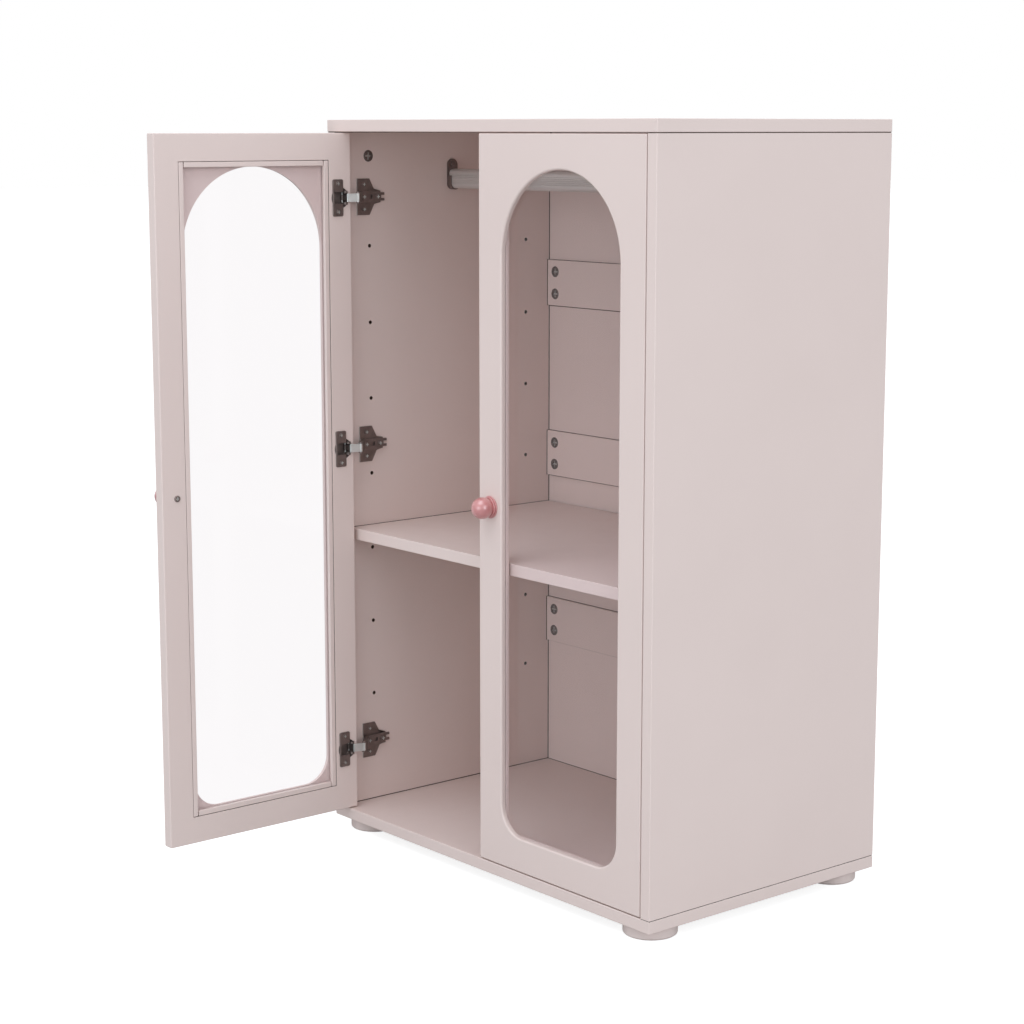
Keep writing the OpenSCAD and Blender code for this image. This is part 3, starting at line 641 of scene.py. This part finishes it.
def glazing(side):
    # the left door stands open, so its beads run along y and its pane faces along x
    name = sideName(side)
    beadEnds, front = ("xXzZ", "y") if side > 0 else ("yYzZ", "x")
    for bead in door["beads"]:
        bm = nodeCopy(f"{name}_{bead}")
        low, high = pullIn(bm, *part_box(f"{name}_{bead}"), beadEnds, door["beadSeam"])
        roundEdges(bm, boxEdges(bm, low, high), door["beadArris"])
        finishPiece(bm, [f"{name}_{bead}"], [doorLacquer])
    bm = nodeCopy(name + "_glass")
    low, high = pullIn(bm, *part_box(name + "_glass"), front, door["glassGap"])
    roundEdges(bm, boxEdges(bm, low, high), door["glassArris"], smallSteps)
    finishPiece(bm, [name + "_glass"], [glass])


for side in (-1, 1):
    doorPanel(side)
for side in (-1, 1):
    glazing(side)
print("doors, beads and glass made")


# Turned pieces

def lathe(bm, profile, steps, weld=0.0005 * mm):
    # spins an outline of (radius, height) about Z
    verts = [bm.verts.new((r, 0, h)) for r, h in profile]
    edges = [bm.edges.new(pair) for pair in zip(verts, verts[1:])]
    bmesh.ops.spin(
        bm, geom=verts + edges, cent=(0, 0, 0), axis=(0, 0, 1), angle=2 * pi, steps=steps,
        use_merge=True, use_duplicate=False,
    )
    bmesh.ops.remove_doubles(bm, verts=bm.verts, dist=weld)


def arc(centreR, centreH, radius, start, end, steps):
    turns = [radians(start + (end - start) * i / steps) for i in range(steps + 1)]
    return [(centreR + radius * cos(t), centreH + radius * sin(t)) for t in turns]


knob = {
    "ball": 13.3 * mm,
    "reach": 12.8 * mm,
    "ring": 13.7 * mm,
    "ringThick": 2.0 * mm,
    "secondRing": 12.8 * mm,
    "secondFrom": 2.6 * mm,
    "secondThick": 1.8 * mm,
    "waist": 11.9 * mm,
    "neck": 10.7 * mm,
    "ballFrom": -36,         # degrees, where the ball leaves the neck
    "bore": 2.05 * mm,
    "boreDepth": 12.05 * mm,
    "inset": 21 * mm,        # from the door's free edge
    "height": 461.7 * mm,    # over the bottom board's underside
    "steps": 96, "ringSteps": 10, "ballSteps": 40,
}


def turnedKnob(side):
    # bore, first ring, waist, second ring, neck and ball
    half, second = knob["ringThick"] / 2, knob["secondThick"] / 2
    secondMiddle, steps = knob["secondFrom"] + second, knob["ringSteps"]
    profile = [(0, knob["boreDepth"]), (knob["bore"], knob["boreDepth"]), (knob["bore"], 0)]
    profile += arc(knob["ring"] - half, half, half, -90, 90, steps)
    profile += [(knob["waist"], knob["ringThick"]), (knob["waist"], knob["secondFrom"])]
    profile += arc(knob["secondRing"] - second, secondMiddle, second, -90, 90, steps)
    profile += [(knob["neck"], secondMiddle + second)]
    profile += arc(0, knob["reach"], knob["ball"], knob["ballFrom"], 90, knob["ballSteps"])
    bm = bmesh.new()
    lathe(bm, profile, knob["steps"])
    spot = (doorWide - knob["inset"], 0, overDoorEdge(knob["height"]))
    place = Matrix.Translation(spot) @ Matrix.Rotation(pi / 2, 4, "X")
    bmesh.ops.transform(bm, matrix=onDoor(side) @ place, verts=bm.verts)
    finishPiece(bm, [sideName(side) + "_knob"], [enamel], sharp=50)


for side in (-1, 1):
    turnedKnob(side)

foot = {
    "lowRound": 3 * mm, "topRound": 0.8 * mm,
    "recess": 5.2 * mm, "recessDepth": 7 * mm, "bore": 2.05 * mm,    # for its screw
    "steps": 96, "lowSteps": 8, "topSteps": 4,
}


def turnedFoot(nodeName):
    low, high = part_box(nodeName)
    radius, tall = (high.x - low.x) / 2, high.z - low.z
    big, small = foot["lowRound"], foot["topRound"]
    profile = [(foot["bore"], tall), (foot["bore"], foot["recessDepth"])]
    profile += [(foot["recess"], foot["recessDepth"]), (foot["recess"], 0)]
    profile += arc(radius - big, big, big, -90, 0, foot["lowSteps"])
    profile += arc(radius - small, tall - small, small, 0, 90, foot["topSteps"])
    profile += [(foot["bore"], tall)]
    bm = bmesh.new()
    lathe(bm, profile, foot["steps"])
    place = Matrix.Translation(((low.x + high.x) / 2, (low.y + high.y) / 2, low.z))
    bmesh.ops.transform(bm, matrix=place, verts=bm.verts)
    finishPiece(bm, [nodeName], [footLacquer])


for end in ("front", "rear"):
    for name in ("left", "right"):
        turnedFoot(f"{end}_{name}_foot")
print("knobs and feet turned")


# Hanging rod: an oval tube with fine flutes along its flat sides

rod = {
    "wall": 1.2 * mm, "arcSteps": 20,
    "flutes": 5, "pitch": 2.4 * mm, "gap": 0.9 * mm, "depth": 0.7 * mm,
    "fluteFloor": 0.4,       # how much of a flute's width is its floor
}


def rodOutline(bm, half, straight, depth):
    # half is the half width, straight half the height of the flat sides
    points = []
    gap, floor = rod["gap"] / 2, rod["gap"] / 2 * rod["fluteFloor"]
    for hand in (1, -1):
        points.append((hand * half, -hand * straight))
        rows = rod["flutes"] if depth else 0
        for i in range(rows):
            middle = (i - (rows - 1) / 2) * rod["pitch"]
            for shift, dip in ((-gap, 0), (-floor, depth), (floor, depth), (gap, 0)):
                points.append((hand * (half - dip), hand * (middle + shift)))
        points.append((hand * half, hand * straight))
        turns = [pi * k / rod["arcSteps"] for k in range(1, rod["arcSteps"])]
        points += [(hand * half * cos(t), hand * (straight + half * sin(t))) for t in turns]
    verts = [bm.verts.new((0, y, z)) for y, z in points]
    return [bm.edges.new(pair) for pair in zip(verts, verts[1:] + verts[:1])]


def flutedRod():
    low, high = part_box("hanging_rod")
    half, tall = (high.y - low.y) / 2, (high.z - low.z) / 2
    bm = bmesh.new()
    outer = rodOutline(bm, half, tall - half, rod["depth"])
    inner = rodOutline(bm, half - rod["wall"], tall - half, 0)
    outerEnd, innerEnd = [sink(bm, loop, (high.x - low.x, 0, 0)) for loop in (outer, inner)]
    fillFlat(bm, outer + inner)
    fillFlat(bm, outerEnd + innerEnd)
    place = Matrix.Translation((low.x, (low.y + high.y) / 2, (low.z + high.z) / 2))
    bmesh.ops.transform(bm, matrix=place, verts=bm.verts)
    finishPiece(bm, ["hanging_rod"], [drawnAluminium], sharp=40)


flutedRod()
print("rod drawn")


# Metal fittings: the nodes' own shapes with their edges broken

fittings = {
    "breakEdge": 0.15 * mm,
    "shortest": 2.0 * mm,    # shorter edges stay sharp
    "squareOn": 0.9,         # how much of its normal a front face has forwards
    "wingFront": 36 * mm,    # the plates' front edges lie no further back than this
    "earReach": 6.4 * mm,    # from a cup's pin to the end of a link's ear
}


def softened(nodeName, materials, other=None):
    # faces for which other holds get the second material
    bm = nodeCopy(nodeName)
    for face in bm.faces:
        face.material_index = 1 if other and other(face) else 0
    long = [edge for edge in sharpEdges(bm) if edge.calc_length() > fittings["shortest"]]
    roundEdges(bm, long, fittings["breakEdge"], smallSteps)
    finishPiece(bm, [nodeName], materials)


def wingFront(face):
    # painted highlight: the plates' cut front edges take the paler zinc, so they look lit
    middle = face.calc_center_median()
    ahead = face.normal.y < -fittings["squareOn"]
    return ahead and middle.y < frontEdge + fittings["wingFront"]


for nodeName in ("left_rod_socket", "right_rod_socket", "left_hinge_arms", "right_hinge_arms"):
    softened(nodeName, [blackNickel])
for nodeName in ("left_mounting_plates", "right_mounting_plates"):
    softened(nodeName, [blackNickel, wornZinc], wingFront)
for name in ("left", "right"):
    pinLow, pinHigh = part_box(name + "_cup_pins")
    pinPlace = ((pinLow + pinHigh) / 2).xy

    def ears(face):
        # the ears round the cups' pins are dark, as the photograph shows them
        return (face.calc_center_median().xy - pinPlace).length < fittings["earReach"]

    softened(name + "_hinge_links", [brightZinc, blackNickel], ears)


def addTo(bm, part, place):
    # puts one finished part into a piece
    bmesh.ops.transform(part, matrix=place, verts=part.verts)
    holder = bpy.data.meshes.new("holder")
    part.to_mesh(holder)
    part.free()
    bm.from_mesh(holder)
    bpy.data.meshes.remove(holder)


def solidsOf(nodeName):
    # lowest and highest corner of each separate solid in a node
    bm = nodeCopy(nodeName)
    seen, boxes = set(), []
    for start in bm.verts:
        if start in seen:
            continue
        seen.add(start)
        group = [start]
        for vert in group:
            near = [e.other_vert(vert) for e in vert.link_edges]
            near = [v for v in near if v not in seen]
            seen.update(near)
            group += near
        spots = [vert.co for vert in group]
        corners = [[pick(spot[i] for spot in spots) for i in range(3)] for pick in (min, max)]
        boxes.append([Vector(corner) for corner in corners])
    bm.free()
    return boxes


def facing(low, high, outward):
    # the place on a solid's outer end, with +Z pointing outwards
    way = Vector(outward)
    end = (low + high) / 2 + (high - low) / 2 * way
    return Matrix.Translation(end) @ way.to_track_quat("Z", "Y").to_matrix().to_4x4()


heads = {"steps": 36, "edgeSteps": 3}


def crossOutline(bm, long, wide):
    # a plus sign, as twelve corners
    quarter = [(long / 2, -wide / 2), (long / 2, wide / 2), (wide / 2, wide / 2)]
    verts = []
    for turn in range(4):
        for x, y in quarter:
            spot = Matrix.Rotation(turn * pi / 2, 3, "Z") @ Vector((x, y, 0))
            verts.append(bm.verts.new(spot))
    return [bm.edges.new(pair) for pair in zip(verts, verts[1:] + verts[:1])]


def crossHead(bm, place, radius, thick, values):
    # a head with a cross recess, its outer face at the place and its shank behind it
    part = bmesh.new()
    edge, shank, length = values["edge"], values["shank"], values["length"]
    profile = [(0, -length), (shank, -length), (shank, -thick), (radius, -thick)]
    profile += arc(radius - edge, -edge, edge, 0, 90, heads["edgeSteps"])
    lathe(part, profile, heads["steps"])
    rim = onPlanes(part.edges, [(2, 0)])
    cross = crossOutline(part, values["crossLong"] * radius, values["crossWide"] * radius)
    fillFlat(part, rim + cross)
    floor = sink(part, cross, (0, 0, -values["crossDeep"]))
    bottom = bmesh.ops.edgeloop_fill(part, edges=floor)["faces"]
    for face in part.faces:
        middle = face.calc_center_median()
        deep = -values["crossDeep"] - hair < middle.z < -hair
        near = middle.xy.length < values["crossLong"] * radius / 2
        face.material_index = 1 if (deep and near) or face in bottom else 0
    addTo(bm, part, place)


# the crosses' length and width are shares of the head's radius
screws = {
    "edge": 0.5 * mm, "shank": 1.9 * mm, "length": 12 * mm,
    "crossLong": 1.25, "crossWide": 0.34, "crossDeep": 0.7 * mm,
    "heads": {
        # node: thickness of its heads, and whether they face out of a door
        "left_cup_screws": (1.2 * mm, True), "right_cup_screws": (1.2 * mm, True),
        "left_knob_screw": (1.8 * mm, True), "right_knob_screw": (1.8 * mm, True),
        "hinge_plate_screws": (1.4 * mm, False), "hinge_arm_screws": (1.6 * mm, False),
        "rod_socket_screws": (1.4 * mm, False),
    },
}


def screwSet(nodeName, thick, onDoors):
    bm = bmesh.new()
    for low, high in solidsOf(nodeName):
        outward = (1, 0, 0) if low.x < 0 else (-1, 0, 0)
        if onDoors and low.x > 0:
            outward = (0, 1, 0)
        crossHead(bm, facing(low, high, outward), (high.z - low.z) / 2, thick, screws)
    # painted highlight: the crosses of all but the sockets' screws are bright zinc, so the heads
    # show a light centre
    recess = blackNickel if "socket" in nodeName else brightZinc
    finishPiece(bm, [nodeName], [blackNickel, recess])


cams = {
    "edge": 1.1 * mm, "shank": 5 * mm, "length": 10.5 * mm, "thick": 10 * mm,
    "crossLong": 1.3, "crossWide": 0.3, "crossDeep": 1.8 * mm,
    "near": 1 * mm,          # how near a cam's end lies to the face that it shows in
}


def camSet():
    # side cams face into the wardrobe, rail cams to the front and shelf cams down
    bm = bmesh.new()
    shelfLow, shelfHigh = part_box("shelf")
    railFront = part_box("back_rail_lower")[0].y
    for low, high in solidsOf("cam_locks"):
        outward = (1 if low.x < 0 else -1, 0, 0)
        if abs(low.y - railFront) < cams["near"]:
            outward = (0, -1, 0)
        elif shelfLow.z - cams["near"] < low.z < shelfHigh.z:
            outward = (0, 0, -1)
        crossHead(bm, facing(low, high, outward), max(high - low) / 2, cams["thick"], cams)
    # painted highlight: the cams' crosses take the paler zinc, so their recesses look lit
    finishPiece(bm, ["cam_locks"], [castZinc, wornZinc])


for nodeName, (thick, onDoors) in screws["heads"].items():
    screwSet(nodeName, thick, onDoors)
camSet()
print("sockets, arms, links, screws and cams made")


# Hinge cups: a drawn cup with a stamped flange over it and a closing spring inside

cup = {
    "radius": 13 * mm, "wall": 0.5 * mm, "depth": 11.3 * mm, "steps": 64,
    "heel": 0.6 * mm, "innerHeel": 0.7 * mm,       # slopes where the wall meets the floor
    "rim": 13.4 * mm, "rimThick": 0.8 * mm, "rimRound": 0.4 * mm, "rimSteps": 4,
    "mouthIn": 0.2 * mm, "mouthDown": 0.3 * mm,    # slope from the rim into the mouth
    "flangeFrom": 12.8 * mm, "flangeWide": 16 * mm, "flangeTall": 47 * mm, "flangeThick": 1.8 * mm,
    "slotTall": 14.7 * mm, "slotEnd": 1.7 * mm,
    "corner": 2.2 * mm, "cornerSteps": 5, "edge": 0.45 * mm,
    "worn": (0.1, 0.97),     # lean of the faces on the free side's round that get the painted highlight
    "springRadius": 2.6 * mm, "springWire": 0.95 * mm, "springTurns": 3, "springFrom": 6.1 * mm,
    "springPlace": (8.6 * mm, 3.2 * mm), "springDeep": 0.4 * mm,
    "wireSides": 10, "turnSteps": 16,
}


def flange():
    # the flange's outline with the slot for the links, in s and height
    part = bmesh.new()
    left, right = cup["flangeFrom"], cup["flangeFrom"] + cup["flangeWide"]
    tall, slot = cup["flangeTall"] / 2, cup["slotTall"] / 2
    slotEnd = right - cup["slotEnd"]
    outline = [
        (left, -tall), (right, -tall), (right, tall), (left, tall),
        (left, slot), (slotEnd, slot), (slotEnd, -slot), (left, -slot),
    ]
    verts = [part.verts.new((s, 0, z)) for s, z in outline]
    face = part.faces.new(verts)
    made = bmesh.ops.extrude_face_region(part, geom=[face])["geom"]
    raised = [g for g in made if isinstance(g, bmesh.types.BMVert)]
    bmesh.ops.translate(part, verts=raised, vec=(0, cup["flangeThick"], 0))
    outer = onPlanes(part.edges, [(2, -tall), (2, tall)])
    corners = [edge for edge in outer if abs(edge.verts[0].co.y - edge.verts[1].co.y) > hair]
    roundEdges(part, corners, cup["corner"], cup["cornerSteps"])
    top = onPlanes(sharpEdges(part), [(1, cup["flangeThick"])])
    roundEdges(part, top, cup["edge"])
    part.normal_update()
    # painted highlight: the free side's round takes the paler zinc
    slight, steep = cup["worn"]
    for face in part.faces:
        beyond = face.calc_center_median().x > slotEnd
        face.material_index = 1 if beyond and slight < face.normal.x < steep else 0
    return part


def spring(part, end):
    # turns of round wire about an upright axis, seen through the cup's mouth
    turns, steps = cup["springTurns"], cup["turnSteps"]
    s, v = cup["springPlace"]
    start = (s + cup["springRadius"], v, end * cup["springFrom"])
    ring = circleLoop(part, cup["springWire"] / 2, start, cup["wireSides"])
    verts = list(dict.fromkeys(vert for edge in ring for vert in edge.verts))
    made = bmesh.ops.spin(
        part, geom=verts + ring, cent=(s, v, 0), axis=(0, 0, 1), angle=2 * pi * turns,
        dvec=(0, 0, end * cup["springWire"] / steps), steps=steps * turns,
    )
    last = [g for g in made["geom_last"] if isinstance(g, bmesh.types.BMEdge)]
    bmesh.ops.edgeloop_fill(part, edges=ring)
    bmesh.ops.edgeloop_fill(part, edges=last)


def hingeCup(bm, place):
    # drawn from the door's inner face, v outwards from it
    part = bmesh.new()
    outer, inner = cup["radius"], cup["radius"] - cup["wall"]
    floor, slope = cup["wall"] - cup["depth"], cup["innerHeel"]
    rim, top, corner = cup["rim"], cup["rimThick"], cup["rimRound"]
    profile = [(0, -cup["depth"]), (outer - cup["heel"], -cup["depth"])]
    profile += [(outer, cup["heel"] - cup["depth"]), (outer, 0), (rim, 0)]
    profile += arc(rim - corner, top - corner, corner, 0, 90, cup["rimSteps"])
    profile += [(inner + cup["mouthIn"], top), (inner, top - cup["mouthDown"])]
    profile += [(inner, floor + slope), (inner - slope, floor), (0, floor)]
    lathe(part, profile, cup["steps"])
    bmesh.ops.rotate(part, verts=part.verts, matrix=Matrix.Rotation(-pi / 2, 3, "X"))
    bmesh.ops.translate(part, verts=part.verts, vec=(door["cupInset"], 0, 0))
    addTo(part, flange(), Matrix())
    wires = bmesh.new()
    for end in (-1, 1):
        spring(wires, end)
    sunk = Matrix.Translation((0, -cup["springRadius"] - cup["springDeep"], 0))
    addTo(part, wires, sunk)
    addTo(bm, part, place)


def cupSet(side):
    bm = bmesh.new()
    for height in door["hingeZs"]:
        place = Matrix.Translation((0, doorThick, overDoorEdge(height)))
        hingeCup(bm, onDoor(side) @ place)
    finishPiece(bm, [sideName(side) + "_hinge_cups"], [blackNickel, wornZinc])


for side in (-1, 1):
    cupSet(side)
print("hinge cups made")


# What stays as it is in the frame gets its finish here

finishes = {"beech_dowels": beech, "zinc_fixings": brightZinc}
for nodeName, node in frame["nodes"].items():
    if node.hide_render:
        continue
    node.data.materials.clear()
    node.data.materials.append(finishes[slotOf[nodeName]])
    print("kept as it is:", nodeName, slotOf[nodeName])


# Camera, light and floor

camera = {
    "place": (2.130472, -1.917725, 0.928427),
    "turn": (80.462, 0, 50.149),
    "lens": 80.315,
    "sensor": 36,
    "clipEnd": 100,
}
cameraData = bpy.data.cameras.new("photoCamera")
cameraData.lens = camera["lens"]
cameraData.sensor_width = camera["sensor"]
cameraData.clip_end = camera["clipEnd"]
cameraObject = newObject("photoCamera", cameraData)
cameraObject.location = camera["place"]
cameraObject.rotation_euler = [radians(angle) for angle in camera["turn"]]
bpy.context.scene.camera = cameraObject

light = {
    "dome": 0.91,
    "tint": "#F0F8FF",
    "lamps": {
        # place, breadth and watts of each softbox
        "highSoftbox": ((0.4, -1.7, 3.9), 3.0, 46),
        "sideSoftbox": ((4.0, -0.6, 1.5), 2.6, 40),
        "lowSoftbox": ((0.8, -3.6, 0.7), 2.4, 27),
    },
    "aim": (0, 0, 0.45),
    "floor": "#B6B5B3",       # what the floor gives back to the wardrobe
    "floorGlow": 0.82,        # what makes it look white
    "floorReach": 30,
}
for name, (spot, breadth, watts) in light["lamps"].items():
    lamp = bpy.data.lights.new(name, "AREA")
    lamp.shape = "DISK"
    lamp.size = breadth
    lamp.energy = watts
    lamp.color = linear(light["tint"])[:3]
    holder = newObject(name, lamp)
    holder.location = spot
    beam = Vector(light["aim"]) - Vector(spot)
    holder.rotation_euler = beam.to_track_quat("-Z", "Y").to_euler()


def seenRays(tree, kinds):
    # one for the rays that show a thing itself, nought for those that only gather its light
    path = addNode(tree, "LightPath").outputs
    seen = path["Is Camera Ray"]
    for kind in kinds:
        seen = addNode(tree, "Math", {0: seen, 1: path[kind]}, operation="MAXIMUM").outputs[0]
    return seen


plainWhite = (1, 1, 1, 1)
world = bpy.data.worlds.new("paleStudio")
bpy.context.scene.world = world
world.use_nodes = True
sky = world.node_tree
sky.nodes.clear()
dome = addNode(sky, "Background", {"Color": linear(light["tint"]), "Strength": light["dome"]})
white = addNode(sky, "Background", {"Color": plainWhite, "Strength": 1.0})
seen = seenRays(sky, ("Is Glossy Ray", "Is Transmission Ray"))
shown = addNode(sky, "MixShader", {0: seen, 1: dome.outputs[0], 2: white.outputs[0]})
addNode(sky, "OutputWorld", {"Surface": shown.outputs[0]})

# a pale floor that keeps the shadow, glows for the camera and is plain white through the glass
floorMaterial = bpy.data.materials.new("paleFloor")
floorMaterial.use_nodes = True
tree = floorMaterial.node_tree
tree.nodes.clear()
plain = addNode(tree, "BsdfDiffuse", {"Color": linear(light["floor"])})
glow = addNode(tree, "Emission", {"Color": plainWhite, "Strength": light["floorGlow"]})
lifted = addNode(tree, "AddShader", {0: plain.outputs[0], 1: glow.outputs[0]})
seen = seenRays(tree, ())
direct = addNode(tree, "MixShader", {0: seen, 1: plain.outputs[0], 2: lifted.outputs[0]})
even = addNode(tree, "Emission", {"Color": plainWhite, "Strength": 1.0})
throughGlass = addNode(tree, "LightPath").outputs["Is Transmission Ray"]
shown = addNode(tree, "MixShader", {0: throughGlass, 1: direct.outputs[0], 2: even.outputs[0]})
addNode(tree, "OutputMaterial", {"Surface": shown.outputs[0]})

bm = bmesh.new()
bmesh.ops.create_grid(bm, x_segments=1, y_segments=1, size=light["floorReach"])
floorMesh = bpy.data.meshes.new("studioFloor")
bm.to_mesh(floorMesh)
bm.free()
floorMesh.materials.append(floorMaterial)
floorObject = newObject("studioFloor", floorMesh)
bpy.context.scene.view_settings.view_transform = "Standard"
print("camera, light and floor set")
